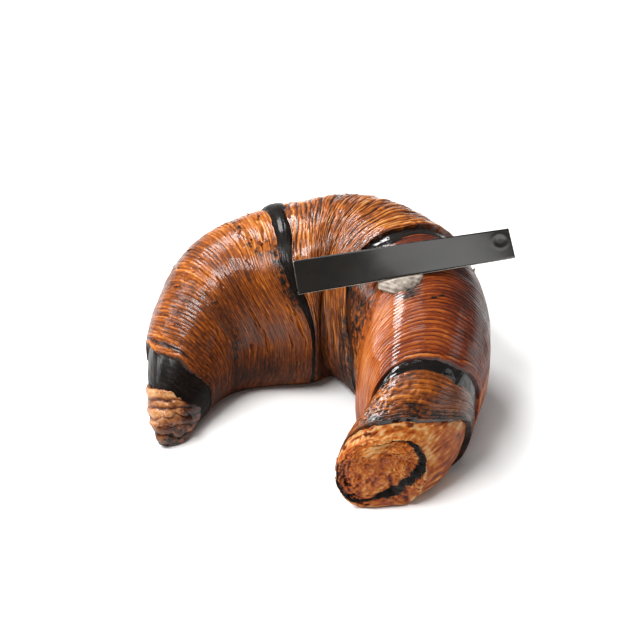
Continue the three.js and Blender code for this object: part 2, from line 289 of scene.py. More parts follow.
def lamination(mm, turn, pitch, seed, waver=1.0, smooth=0.0):
    """The dough's layers as ridges of a mean pitch, from 0 to 1. waver is how much they fork and
    stray, and smooth runs from torn sheets (0) to glazed rounded cords (1)."""
    phase = mm / pitch + 0.8 * rough(mm, turn, 12, 6, seed + 20)
    stray = 0.4 * rough(mm, turn, 2.2 * pitch, 15, seed + 21, 2)
    phase = phase + waver * (stray + 0.07 * rough(mm, turn, 0.8 * pitch, 90, seed + 22, 2))
    bold = lerp(shingles(phase, turn, 22, seed, 0.3), cords(phase, turn, 18, seed), smooth)
    fine = shingles(phase * 2.3 + 0.4, turn, 40, seed + 11, 0.35)
    return lerp(0.7, 0.92, smooth) * bold + lerp(0.3, 0.08, smooth) * fine


def torn(mm, turn, seed):
    """1 where the top sheet has flaked off in a flat scrap, longer round the roll."""
    return ramp(rough(mm, turn, 1.9, 22, seed, 2), *TORN_FROM)


def box_blur(value, reach, axis):
    """The mean over reach points to each side. Round the roll (axis 1) it wraps."""
    if axis == 1:
        core = value[:, :-1]
        total = sum(np.roll(core, k, 1) for k in range(-reach, reach + 1)) / (2 * reach + 1)
        return np.concatenate([total, total[:, :1]], 1)
    padded = np.pad(value, ((reach, reach), (0, 0)), mode="edge")
    rows = value.shape[0]
    return sum(padded[k:k + rows] for k in range(2 * reach + 1)) / (2 * reach + 1)


def hollows(rise):
    """How far each point lies below its surroundings: 1 is HOLLOW_DEPTH below, -1 as far above."""
    around = box_blur(box_blur(rise, HOLLOW_REACH[0], 0), HOLLOW_REACH[1], 1)
    return np.clip((around - rise) / HOLLOW_DEPTH, *HOLLOW_RANGE)


# ---- meshes -----------------------------------------------------------------------------------
UV_PER_MM = 0.01                   # the roll's UV map: 1 unit is 100 mm
WELD = 1e-6                        # metres


def turns_round():
    """Turns of the points round a section, closer together where the roll shows."""
    return np.interp(np.linspace(0, 1, SIDES + 1), POINT_SHARES, POINT_TURNS)


def deselect():
    """Leaves edit mode with nothing selected."""
    if bpy.context.object and bpy.context.object.mode != "OBJECT":
        bpy.ops.object.mode_set(mode="OBJECT")
    bpy.ops.object.select_all(action="DESELECT")


def in_frame(points):
    """Millimetres in the curves' frame to metres in the part's, kept inside its box."""
    metres = (points + np.array([*MODEL_SHIFT, 0])) * MM
    return np.clip(metres, np.array(cad_low), np.array(cad_high))


def paint(mesh, key, value):
    """Keeps one number a point under a name, for the materials to read."""
    attribute = mesh.attributes.new(key, "FLOAT", "POINT")
    attribute.data.foreach_set("value", np.ascontiguousarray(value, np.float32).ravel())


def grid(name, rows, columns):
    """A flat grid, with the row and the column of each of its points."""
    deselect()
    bpy.ops.mesh.primitive_grid_add(x_subdivisions=rows, y_subdivisions=columns, size=1)
    piece = bpy.context.object
    piece.name = piece.data.name = name
    flat = np.zeros(len(piece.data.vertices) * 3)
    piece.data.vertices.foreach_get("co", flat)
    flat = flat.reshape(-1, 3) + 0.5
    return piece, np.rint(flat[:, 0] * rows).astype(int), np.rint(flat[:, 1] * columns).astype(int)


def sleeve(name, points, along, values, material):
    """A closed skin over rings of points. A flat grid is rolled round them, its seam is
    welded and its two ends are closed with fans. along is each ring's place in mm, for the UV
    map, and values are painted on."""
    piece, ring, side = grid(name, points.shape[0] - 1, points.shape[1] - 1)
    mesh = piece.data
    mesh.vertices.foreach_set("co", in_frame(points[ring, side]).ravel())
    step = np.linalg.norm(np.diff(points, axis=1), axis=-1).mean(0)
    around = np.concatenate([[0], np.cumsum(step)])
    corner = np.zeros(len(mesh.loops), int)
    mesh.loops.foreach_get("vertex_index", corner)
    layer = mesh.uv_layers[0]
    layer.name = "roll"
    place = np.stack([along[ring[corner]], around[side[corner]]], -1) * UV_PER_MM
    layer.data.foreach_set("uv", place.ravel())
    for key, value in values.items():
        paint(mesh, key, value[ring, side])
    bpy.ops.object.mode_set(mode="EDIT")
    bpy.ops.mesh.select_all(action="SELECT")
    bpy.ops.mesh.remove_doubles(threshold=WELD)
    bpy.ops.mesh.select_mode(type="EDGE")
    bpy.ops.mesh.select_all(action="DESELECT")
    bpy.ops.mesh.select_non_manifold(extend=False, use_wire=False, use_multi_face=False,
                                     use_non_contiguous=False, use_verts=False)
    bpy.ops.mesh.fill_holes(sides=0)
    bpy.ops.mesh.poke()
    bpy.ops.mesh.select_all(action="SELECT")
    bpy.ops.mesh.normals_make_consistent(inside=False)
    bpy.ops.object.mode_set(mode="OBJECT")
    bpy.ops.object.shade_smooth()
    mesh.materials.append(material)
    return piece


def settle(piece, slot, *nodes):
    """Every piece stays with the one body, and stands for its node."""
    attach(piece, "root")
    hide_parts(*nodes)


# ---- materials --------------------------------------------------------------------------------
def linear(code):
    """An sRGB hex colour as linear RGBA."""
    parts = [int(code[i:i + 2], 16) / 255 for i in (1, 3, 5)]
    return (*[p / 12.92 if p <= 0.04045 else ((p + 0.055) / 1.055) ** 2.4 for p in parts], 1)


def add(tree, kind, links=None, gives=0, stops=(), **settings):
    """Adds one node with its settings. links maps its inputs to values or other outputs, stops
    are the places and colours of a ramp, and gives is the output that comes back."""
    node = tree.nodes.new("ShaderNode" + kind)
    for key, value in settings.items():
        setattr(node, key, value)
    for key, value in (links or {}).items():
        if isinstance(value, bpy.types.NodeSocket):
            tree.links.new(value, node.inputs[key])
        else:
            node.inputs[key].default_value = value
    for _ in stops[2:]:
        node.color_ramp.elements.new(0.5)
    for k, (place, code) in enumerate(stops):
        node.color_ramp.elements[k].position = place
        node.color_ramp.elements[k].color = linear(code)
    return node.outputs[gives]


def new_material(name, **constants):
    """A Principled material; constants are its sockets' values, with _ for a space."""
    material = bpy.data.materials.new(name)
    material.use_nodes = True
    tree = material.node_tree
    shader = tree.nodes["Principled BSDF"]
    for key, value in constants.items():
        shader.inputs[key.replace("_", " ")].default_value = value
    return material, tree, shader


def wire(tree, shader, **outputs):
    """Links patterns to the shader's sockets, named with _ for a space."""
    for key, output in outputs.items():
        tree.links.new(output, shader.inputs[key.replace("_", " ")])


def mixed(tree, start, *parts):
    """start plus each (pattern, weight), where a pattern counts from its middle, 0.5."""
    middle = -sum(weight for _, weight in parts) / 2
    total = add(tree, "Math", {0: start, 1: middle}, operation="ADD")
    for pattern, weight in parts:
        total = add(tree, "Math", {0: pattern, 1: weight, 2: total}, operation="MULTIPLY_ADD")
    return total


def streaks(tree, across_mm, round_mm):
    """Noise on the roll's own map, drawn out round the roll as the dough's layers are."""
    uv = add(tree, "UVMap", uv_map="roll")
    scale = (1 / (UV_PER_MM * across_mm), 1 / (UV_PER_MM * round_mm), 1)
    place = add(tree, "Mapping", {"Vector": uv, "Scale": scale})
    return add(tree, "TexNoise", {"Vector": place, "Scale": 1.0, "Detail": 3.0, "Roughness": 0.6})


def grain(tree, size_mm, detail=2.0):
    """Even noise in the part's own space, with grains of a real size."""
    place = add(tree, "TexCoord", gives="Object")
    return add(tree, "TexNoise", {"Vector": place, "Scale": 1 / (size_mm * MM), "Detail": detail})


def bumps(tree, *layers):
    """Bump from (pattern, height in mm, strength) layers, one over the other."""
    normal = None
    for pattern, height, strength in layers:
        links = {"Height": pattern, "Distance": height * MM, "Strength": strength}
        if normal:
            links["Normal"] = normal
        normal = add(tree, "Bump", links)
    return normal


# How laminated dough browns, from a pale inner sheet to burnt sugar.
BAKED = [(0.0, "#c09563"), (0.13, "#b37231"), (0.26, "#a15614"), (0.4, "#7d3d09"),
         (0.54, "#5a2804"), (0.68, "#361502"), (0.84, "#1a0902"), (1.0, "#0c0401")]
# Under the thick syrup of the right arm, and in the cut end, the browns are a little redder.
SYRUPED = [(0.0, "#c09563"), (0.13, "#b26e30"), (0.26, "#a05018"), (0.4, "#80360b"),
           (0.54, "#5e2106"), (0.68, "#391003"), (0.84, "#1c0602"), (1.0, "#0d0301")]
# The same dough where it is torn open at the tip, which stays greyer.
TORN = [(0.0, "#bd9064"), (0.2, "#a36d3f"), (0.4, "#804a25"), (0.6, "#522914"), (0.8, "#281208"),
        (1.0, "#100704")]
SESAME = "#0d0907"                 # black sesame dough
HOLLOW_SHADE = 0.36               # painted shade: how much darker a hollow 1 deep is drawn, and a ridge as much paler


def crust_material(name, glaze, glaze_roughness, streak, mottle, ripple, browns=BAKED):
    """Laminated croissant dough, baked and brushed with sugar syrup: amber to dark brown in streaks
    along its layers, with painted shade in the hollows between them, stained by the black sesame
    beside it, under a thin clear glaze that is uneven and dull where a scrap has flaked off.
    glaze is how wet it is at most, streak and mottle how uneven its brown is, and ripple the
    height in mm of the waves that the brush leaves in the glaze."""
    material, tree, shader = new_material(name, IOR=1.45, Specular_IOR_Level=0.12,
                                          Coat_Roughness=glaze_roughness, Coat_IOR=1.5)
    lines = streaks(tree, 0.3, 3.4)          # one layer's edge
    broad = streaks(tree, 1.5, 9.0)          # a sheet of several layers
    patches = grain(tree, 8.0)               # where the oven caught it more
    # Short pale dashes, where the edge of a layer has split.
    flecks = add(tree, "MapRange", {"Value": streaks(tree, 0.45, 2.2), "From Min": 0.57, "From Max": 0.66,
                                    "To Min": 0.0, "To Max": -0.4 * streak})
    bake = add(tree, "Attribute", gives="Fac", attribute_name="bake")
    hollow = add(tree, "Attribute", gives="Fac", attribute_name="hollow")
    tone = mixed(tree, bake, (lines, streak), (broad, streak), (patches, mottle))
    # Painted shade: the hollows between the layers are drawn darker and the ridges paler.
    tone = add(tree, "Math", {0: hollow, 1: HOLLOW_SHADE, 2: tone}, operation="MULTIPLY_ADD")
    tone = add(tree, "Math", {0: tone, 1: flecks}, operation="ADD")
    brown = add(tree, "ValToRGB", {"Fac": tone}, stops=browns)
    # The sesame stain breaks up into blotches and runs along the layers.
    sesame = add(tree, "Attribute", gives="Fac", attribute_name="sesame")
    blotches = add(tree, "MapRange", {"Value": grain(tree, 1.8, 5.0), "From Min": 0.28, "From Max": 0.72})
    black = add(tree, "MapRange", {"Value": mixed(tree, sesame, (blotches, 0.8), (lines, 1.2)),
                                   "From Min": 0.28, "From Max": 0.74})
    colour = add(tree, "Mix", {0: black, 6: brown, 7: linear(SESAME)}, gives=2, data_type="RGBA")
    dry = add(tree, "MapRange", {"Value": broad, "From Min": 0.3, "From Max": 0.7, "To Min": 0.42,
                                 "To Max": 0.62})
    brushed = add(tree, "Attribute", gives="Fac", attribute_name="glaze")
    wet = add(tree, "MapRange", {"Value": mixed(tree, brushed, (patches, 0.8)), "From Min": 0.15,
                                 "From Max": 0.75, "To Max": glaze})
    # Crumbs of crust are finer than 0.5 mm and are drawn at that size, so that they show.
    crumb = bumps(tree, (lines, 0.25, 0.8), (grain(tree, 0.5), 0.08, 0.6))
    skin = bumps(tree, (broad, ripple, 0.6), (lines, ripple / 2, 0.5), (grain(tree, 1.0), ripple / 2, 0.6))
    wire(tree, shader, Base_Color=colour, Roughness=dry, Coat_Weight=wet, Normal=crumb, Coat_Normal=skin)
    return material


def sesame_material(name, glaze, glaze_roughness, brown, ripple):
    """Black sesame dough: ground seeds baked to a dense, near black sheet with a brown cast,
    specks of seed and a wet satin glaze. brown is its colour where it is baked thin."""
    material, tree, shader = new_material(name, Roughness=0.5, Specular_IOR_Level=0.05,
                                          Coat_Roughness=glaze_roughness, Coat_IOR=1.45)
    lines = streaks(tree, 0.7, 7.0)
    specks = grain(tree, 0.6, 3.0)           # ground seed
    tone = mixed(tree, 0.5, (lines, 0.5), (specks, 0.5))
    black = add(tree, "ValToRGB", {"Fac": tone}, stops=[(0.3, "#050303"), (0.5, SESAME), (0.7, "#241a14")])
    bake = add(tree, "Attribute", gives="Fac", attribute_name="bake")
    rust = add(tree, "MapRange", {"Value": mixed(tree, bake, (lines, 0.6)), "From Min": 0.35,
                                  "From Max": 0.8})
    colour = add(tree, "Mix", {0: rust, 6: black, 7: linear(brown)}, gives=2, data_type="RGBA")
    brushed = add(tree, "Attribute", gives="Fac", attribute_name="glaze")
    wet = add(tree, "MapRange", {"Value": brushed, "To Max": glaze})
    skin = bumps(tree, (grain(tree, 2.2), ripple, 0.6), (grain(tree, 0.8), ripple / 4, 0.5))
    wire(tree, shader, Base_Color=colour, Coat_Weight=wet, Coat_Normal=skin,
         Normal=bumps(tree, (lines, 0.2, 0.8), (specks, 0.12, 0.6)))
    return material


def cream_material():
    """Whipped cream dried at its surface: matt, off-white going grey, with faint pores and painted shade in
    the hollows of its ribs.
    """
    material, tree, shader = new_material("whipped_cream_dried", Roughness=0.62, Subsurface_Weight=0.12,
                                          Subsurface_Radius=(0.003, 0.002, 0.0015))
    hollow = add(tree, "Attribute", gives="Fac", attribute_name="hollow")
    # Painted shade: the hollows between the ribs are drawn darker.
    tone = add(tree, "Math", {0: hollow, 1: -0.16, 2: grain(tree, 1.4, 4.0)}, operation="MULTIPLY_ADD")
    colour = add(tree, "ValToRGB", {"Fac": tone}, stops=[(0.25, "#6b6057"), (0.5, "#9b9084"),
                                                         (0.75, "#b4aa9d")])
    wire(tree, shader, Base_Color=colour, Normal=bumps(tree, (grain(tree, 0.7, 3.0), 0.15, 0.5)))
    return material


def strip_material(name, face, haze, roughness):
    """Black laminated card: a satin face that is not quite flat, and its pale cut edge."""
    material, tree, shader = new_material(name, Roughness=roughness, IOR=1.5)
    colour = add(tree, "ValToRGB", {"Fac": grain(tree, 7.0, 3.0)}, stops=[(0.3, face), (0.7, haze)])
    wire(tree, shader, Base_Color=colour, Normal=bumps(tree, (grain(tree, 6.0), 0.1, 0.3)))
    return material


# Brown crust, thinly brushed: a soft, broad shine.
CRUST_DARK = crust_material("baked_dough_brown_glazed", 0.7, 0.14, 0.36, 0.2, 0.22)
# Amber crust, well brushed: a bright shine that its ridges break up.
CRUST_AMBER = crust_material("baked_dough_amber_glazed", 1.0, 0.08, 0.4, 0.3, 0.3)
# Syrup that has run together: a smooth, deep, red-brown gloss.
CRUST_SYRUP = crust_material("baked_dough_syrup_pooled", 1.0, 0.06, 0.3, 0.22, 0.05, SYRUPED)
# Golden inner dough at the cut end and in the flakes: nearly matt.
CRUST_GOLD = crust_material("baked_dough_golden_torn", 0.4, 0.22, 0.1, 0.3, 0.15, SYRUPED)
# Pale torn folds, lightly splashed with syrup.
CRUST_TORN = crust_material("baked_dough_pale_torn", 0.6, 0.15, 0.25, 0.3, 0.15, TORN)
# Black dough under wet glaze, brushed nearly dry, and with an even satin shine.
SESAME_WET = sesame_material("black_sesame_dough_glazed", 1.0, 0.07, "#6b3a1c", 0.25)
SESAME_DULL = sesame_material("black_sesame_dough_brushed", 0.35, 0.14, "#4a2a1c", 0.25)
SESAME_SATIN = sesame_material("black_sesame_dough_satin", 0.8, 0.24, "#3a231b", 0.08)
CREAM = cream_material()
CARD_FACE = strip_material("laminated_card_black", "#0d0a08", "#17130f", 0.17)
CARD_EDGE = strip_material("laminated_card_cut_edge", "#8d887f", "#b5b0a6", 0.6)


# ---- wraps ------------------------------------------------------------------------------------
RING_STEP = 0.27                   # mm between rings at the crest
# A wrap's torn edge goes down under its neighbour and is rounded over on to the surface.
LIP_ROUND = (-WALL_DEPTH, -1.8, -0.9, -0.35)
TEAR_REACH = 4                     # mm from a torn edge that its rags bend the layers
TUCK = 2.6                         # mm that a tucked edge runs on below its neighbour
TUCK_DROP = 1.3                    # mm that it lies lower there
MEAN_LAYER = 0.4                   # what the layers' relief comes to on average
BAND_PITCH = 1.4                   # mm between layers in the black dough
BAND_SAG = 1.2                     # mm that a black band's edges lie below its crown
BRUSHED_FROM = (12, 34)            # mm: the syrup thins out between these heights


def crest_length(start, stop):
    """Length in mm between two edges along the crest."""
    ninety = np.array([90.0])
    return float((edge_at(stop, ninety) - edge_at(start, ninety))[0] * CREST_LENGTH)


def jagged(turn, seed):
    """How far a torn edge strays along the roll, as a share of it."""
    stray = rough(0, turn, 1, 14, seed) + 0.5 * rough(0, turn, 1, 60, seed + 1)
    return stray / CREST_LENGTH


def lay_rings(start, stop, spread, seed, step=RING_STEP, rags=1.0):
    """The places of a wrap's points: along it in mm, round it, on the roll, and the depth of
    its edges. spread is how far in mm it runs on past its two edges, step the distance between
    its rings, and rags how ragged its torn edges are."""
    length = crest_length(start, stop) + spread[0] + spread[1]
    rows = int(length / step)
    lips = len(LIP_ROUND)
    share = np.concatenate([np.zeros(lips), np.linspace(0, 1, rows), np.ones(lips)])
    sink = np.concatenate([LIP_ROUND, np.zeros(rows), LIP_ROUND[::-1]])
    share, turn = np.meshgrid(share, turns_round(), indexing="ij")
    low = edge_at(start, turn) - spread[0] / CREST_LENGTH
    high = edge_at(stop, turn) + spread[1] / CREST_LENGTH
    mm = share * length
    stray = jagged(turn, seed) * (1 - ramp(mm, 0, TEAR_REACH))
    stray = stray + jagged(turn, seed + 7) * (1 - ramp(length - mm, 0, TEAR_REACH))
    return mm, turn, lerp(low, high, share) + rags * stray, np.repeat(sink[:, None], SIDES + 1, 1), length


def unbrushed(points):
    """1 low on the roll, where the syrup brush doesn't reach."""
    return 1 - ramp(points[..., 2], *BRUSHED_FROM)


def crust_wrap(name, span, levels, pitch, height, seed, material, tone, tucked=(False, False),
               sesame=None, glaze=0.7, lip=0.35, lumps=0.35, relief=None, waver=1.0, smooth=0.0,
               step=RING_STEP, rags=1.0, dull=0.0):
    """One wrap of crust between two edges. levels are its heights over the plain roll at its
    two edges and its bulge; pitch and height are its layers', in mm. tone(u, turn, mm, length)
    is how dark it is baked, and sesame how black it is stained. tucked says which edges run on
    below their neighbour; the others turn up by a lip, in mm. lumps and relief are added to its
    form, waver and smooth are as for lamination, and dull is how much glaze its outer side
    lacks."""
    spread = [TUCK if t else 0 for t in tucked]
    mm, turn, u, sink, length = lay_rings(*span, spread, seed, step, rags)
    share = mm / length
    layers = lamination(mm, turn, pitch, seed, waver, smooth)
    scraps = torn(mm, turn, seed + 70) * (1 - smooth)
    body = lerp(levels[0], levels[1], share) + levels[2] * np.sin(np.pi * share)
    body = body + lumps * rough(mm, turn, 14, 9, seed + 40)
    for under, from_edge in zip(tucked, (mm, length - mm)):
        curl = -TUCK_DROP if under else lip * (0.6 + rough(mm, turn, 3, 22, seed + 60))
        body = body + curl * (1 - ramp(from_edge, 0, TUCK))
    detail = height * (1 - 0.4 * inside(turn)) * (layers - MEAN_LAYER) - 0.2 * scraps
    detail = detail + 0.1 * (1 - smooth) * rough(mm, turn, 1.5, 60, seed + 90, 2)
    if relief is not None:
        detail = detail + relief(u, turn, mm)
    hollow = hollows(detail)
    points = roll_point(u, turn, crowded(body, u, turn) + detail + sink)
    dry = unbrushed(points)
    wet = glaze - dull * (1 - ramp(turn, 25, 65)) - 0.4 * scraps - 0.3 * np.clip(hollow, 0, 1)
    values = {
        # Painted shade: the edges that go down under a neighbour are drawn darker.
        "bake": tone(u, turn, mm, length) - 0.16 * scraps + 0.2 * (sink < 0) + 0.14 * dry ** 3,
        "sesame": np.zeros_like(u) if sesame is None else sesame(u, turn, mm, length),
        "hollow": hollow,
        "glaze": wet - 0.6 * dry,
    }
    settle(sleeve(name, points, mm[:, 0], values, material), "glazed_crust", "croissant")


def sesame_band(name, span, levels, seed, material, spread=(2.5, 2.5), height=0.25,
                rust=((0, 0), (360, 0)), shine=((0, 1), (360, 1))):
    """The black sesame dough that shows between two wraps. levels, rust and shine are stops at
    turns round it: its height over the plain roll, how brown it is instead of black, and how
    much glaze it has. height is its layers', in mm."""
    mm, turn, u, sink, length = lay_rings(*span, spread, seed)
    share = mm / length
    layers = lamination(mm, turn, BAND_PITCH, seed)
    crown = np.interp(turn, *zip(*levels)) - BAND_SAG * np.abs(2 * share - 1) ** 2.5
    body = crown + 0.3 * rough(mm, turn, 6, 16, seed + 3)
    detail = height * (layers - MEAN_LAYER) + 0.08 * rough(mm, turn, 1.5, 60, seed + 4, 2)
    points = roll_point(u, turn, crowded(body, u, turn) + detail + sink)
    browned = np.interp(turn, *zip(*rust))
    values = {"bake": browned + 0.2 * rough(mm, turn, 6, 12, seed + 5),
              "glaze": np.interp(turn, *zip(*shine)) * (1 - 0.8 * unbrushed(points)) - 0.8 * browned}
    settle(sleeve(name, points, mm[:, 0], values, material), "glazed_crust", "croissant")


# ---- how the wraps are baked ------------------------------------------------------------------
# A tone is a place on the material's browns, from 0 (pale) to 1 (burnt), and a stain is how black
# the sesame leaves the crust. Each is a mean, drifting patches, and then the places that stand
# out, given by their turn round the roll, their share of it (u) or their mm from the wrap's edge.
CUFF_LIPS = [(2.4, 0.6, 0.3), (0.9, 0.6, -0.22), (4.0, 0.7, -0.16)]    # mm, width, how much darker; the dark gap between the pale lips is painted shade
LEFT_SMEAR = [(50, 0.3), (67, 0.305), (87, 0.299), (100, 0.3), (113, 0.308)]    # turn, u
LEFT_FOOT = [(60, 0.168), (107, 0.166), (126, 0.171), (159, 0.182), (215, 0.197)]
MIDDLE_CREASE = [(20, 0.479), (60, 0.48), (90, 0.482), (120, 0.487)]
RIGHT_SLIT = [(80, 0.826), (88, 0.83)]


def cuff_tone(u, turn, mm, length):
    """Paler on its outer shoulder. Its edge has a pale lip, a dark gap of painted shade and a second
    pale lip, on the side that shows."""
    tone = 0.55 + 0.08 * rough(mm, turn, 10, 10, 343)
    tone = tone - 0.1 * ramp(turn, 20, 50) * (1 - ramp(turn, 50, 90))
    lips = sum(darker * bump(mm, at, wide) for at, wide, darker in CUFF_LIPS)
    return tone + lips * (1 - ramp(turn, 95, 125))


def left_tone(u, turn, mm, length):
    """Paler along its crest and where it nears the bend."""
    tone = 0.58 - 0.14 * ramp(turn, 40, 80) * (1 - ramp(turn, 100, 140))
    tone = tone + 0.12 * rough(mm, turn, 8, 10, 301)
    return tone + 0.03 * ramp(turn, 120, 170) - 0.12 * ramp(u, 0.24, 0.34)


def left_sesame(u, turn, mm, length):
    """A smear across it, its end by the black band, its foot, and a root on the inner side."""
    smear = across_line(u, turn, LEFT_SMEAR, 2.2)
    diffuse = ramp(mm, length - 15, length - 4) * ramp(turn, 80, 120) * (1 - ramp(turn, 150, 170))
    foot = across_line(u, turn, LEFT_FOOT, 3.0)
    root = spot(u, turn, 0.186, 168, 3.5, 26)
    return np.maximum(np.maximum(0.5 * smear, 0.7 * diffuse), np.maximum(0.36 * foot, 0.62 * root))


def middle_tone(u, turn, mm, length):
    """Darker down its inner side and towards the right arm."""
    tone = 0.42 + 0.2 * rough(mm, turn, 6, 12, 311)
    return tone + 0.1 * ramp(turn, 140, 200) + 0.04 * ramp(u, 0.6, 0.67)


def middle_sesame(u, turn, mm, length):
    """A crease over its crest, and the fold where it meets the right arm."""
    crease = across_line(u, turn, MIDDLE_CREASE, 0.8)
    fold = ramp(u, 0.65, 0.72) * ramp(turn, 130, 160) * (1 - ramp(turn, 215, 240))
    return np.maximum(0.5 * crease, 0.6 * fold)


def right_tone(u, turn, mm, length):
    """Paler on its inner side, darker behind the strip and down its outer side."""
    tone = 0.43 + 0.16 * rough(mm, turn, 8, 10, 321) - 0.1 * ramp(turn, 104, 135)
    behind_strip = (1 - ramp(u, 0.77, 0.85)) * (1 - ramp(turn, 100, 120))
    return tone + 0.1 * behind_strip + 0.16 * (1 - ramp(turn, 50, 85))


def right_sesame(u, turn, mm, length):
    """The fold at its root, a slit at the crest, and a spot below the cream."""
    fold = ramp(turn, 118, 145) * (1 - ramp(turn, 215, 240)) * (1 - ramp(u, 0.765, 0.84))
    slit = across_line(u, turn, RIGHT_SLIT, 0.6)
    under_cream = spot(u, turn, 0.815, 102, 3, 9)
    return np.maximum(np.maximum(0.62 * fold, 0.75 * slit), 0.75 * under_cream)


def collar_tone(u, turn, mm, length):
    """Two paler patches, one on each side of the crest."""
    tone = 0.53 + 0.14 * rough(mm, turn, 4, 14, 331)
    return tone - 0.12 * spot(u, turn, 0.945, 115, 6, 26) - 0.14 * spot(u, turn, 0.94, 74, 4, 16)


def collar_sesame(u, turn, mm, length):
    """A smear along its last millimetres, one dark spot, and its outer side."""
    smear = ramp(mm, length - 6.5, length - 1) * (1 - ramp(turn, 100, 140))
    dark = spot(u, turn, 0.961, 82, 1.4, 7)
    outer = 1 - ramp(turn, 12, 32)
    return np.maximum(np.maximum(0.6 * smear, 0.8 * dark), 0.6 * outer)


def broad_sheets(u, turn, mm):
    """Steps a few millimetres apart, where whole sheets of dough end."""
    phase = mm / 6.5 + 0.9 * rough(mm, turn, 14, 5, 403)
    return 0.35 * (shingles(phase, turn, 6, 404, 0.12) - MEAN_LAYER)


def crowded_sheets(u, turn, mm):
    """Broad sheets that the bend has also pushed into small lumps."""
    return broad_sheets(u, turn, mm) + 0.5 * rough(mm, turn, 3.2, 30, 405)


def collar_bubbles(u, turn, mm):
    """Beads where the glaze has boiled up on the collar."""
    beads = 0.5 - np.abs(rough(mm, turn, 1.7, 70, 401, 2))
    return 0.8 * beads * spot(u, turn, 0.95, 112, 8, 32)


crust_wrap("wrap_left_cuff", ("patch_head", "tuck"), (0.3, -0.4, 0.4), 1.2, 0.5, 3, CRUST_DARK,
           cuff_tone, tucked=(False, True), glaze=0.55, waver=0.8)
crust_wrap("wrap_left_arm", ("tuck", "left_band_start"), (0.0, -0.5, 0.6), 1.2, 0.5, 5, CRUST_DARK,
           left_tone, tucked=(False, True), sesame=left_sesame, glaze=0.55, lip=0.15, waver=0.8)
crust_wrap("wrap_middle", ("left_band_stop", "right_band_start"), (0.1, 0.8, 0.4), 1.9, 0.8, 7,
           CRUST_AMBER, middle_tone, sesame=middle_sesame, lumps=0.6, relief=crowded_sheets,
           waver=2.0, smooth=0.4)
crust_wrap("wrap_right_arm", ("right_band_stop", "low_band_start"), (-1.1, 0.3, 0.8), 1.05, 0.4, 9,
           CRUST_SYRUP, right_tone, tucked=(True, False), sesame=right_sesame, lip=0.1,
           relief=broad_sheets, waver=0.5, smooth=0.85, step=0.18, rags=0.4, dull=0.3)
crust_wrap("wrap_right_collar", ("low_band_stop", "mouth"), (-1.2, 0.6, 0.6), 1.3, 0.35, 11,
           CRUST_AMBER, collar_tone, tucked=(True, False), sesame=collar_sesame,
           relief=collar_bubbles, waver=0.6, smooth=0.6, step=0.21, rags=0.6)
sesame_band("sesame_patch_left", ("patch_foot", "patch_head"), [(0, -0.7), (360, -0.7)], 21, SESAME_SATIN,
            height=0.08, rust=((0, 0.25), (100, 0.15), (115, 0), (360, 0)),
            shine=((0, 1.1), (60, 1.1), (100, 0.15), (360, 0.1)))
sesame_band("sesame_band_left", ("left_band_start", "left_band_stop"),
            [(0, 0.6), (60, 1.0), (110, 0.5), (150, -0.4), (360, -0.4)], 23, SESAME_DULL,
            spread=(1.3, 0.8), shine=((0, 0.4), (80, 0.4), (100, 1), (120, 0.4), (360, 0.3)))
sesame_band("sesame_band_right", ("right_band_start", "right_band_stop"),
            [(0, -0.4), (120, -0.4), (150, -1.2), (360, -1.2)], 25, SESAME_WET,
            rust=((0, 0), (140, 0), (155, 0.45), (360, 0.45)))
sesame_band("sesame_band_low", ("low_band_start", "low_band_stop"),
            [(0, -0.6), (130, -0.6), (170, -1.6), (360, -1.4)], 27, SESAME_WET,
            rust=((0, 0.4), (25, 0.35), (40, 0), (120, 0), (132, 0.8), (360, 0.8)))


# ---- the left tip -----------------------------------------------------------------------------
TIP_DOME = 2.0                     # mm that the nose swells beyond its rim
TIP_BLUNTNESS = 0.7
NOSE_RINGS = 60
NOSE_LENGTH = 9                    # mm of the dough's pattern that its rings take up
TIP_FOLD = 3.3                     # mm, mean thickness of a fold of layers there
FOLD_UP = np.array([-0.26, 0.56, 0.79])        # the folds lie over each other this way
FOLD_ALONG = np.array([0.9, 0.43, 0])
FOLD_STRIDE = 3.7                  # steps through the noise from one fold to the next
TIP_SINK = 0.4                     # mm that its skin lies below the plain roll
# Folds that stayed pale: place along and up, reach along and up in mm, and how much paler.
PALE_FOLDS = [(-58.6, -14.2, 6, 2.4, 0.26), (-60.5, -6.5, 7, 2.2, 0.2), (-61, -10.3, 5, 1.2, 0.1)]
TIP_SHADE = 0.6                    # its folds are open, so their hollows get less painted shade than their depth says


def tip_folds(points):
    """Relief in mm of layers torn open at the tip: crumpled folds that lie over each other."""
    a, b = points @ FOLD_ALONG, points @ FOLD_UP
    phase = b / TIP_FOLD + 0.7 * crumbs(a, b, 7, 73, 2) + 0.25 * crumbs(a, b, 2.5, 78, 2)
    fold = np.floor(phase)
    high = 0.72 + 0.28 * noise(a / 7, fold * FOLD_STRIDE + 0.5, 75)
    cushion = high * (1 - np.abs(2 * (phase - fold) - 1) ** 3)
    return 1.1 * (cushion - 0.6) + 0.7 * crumbs(a, b, 2.4, 76, 3)


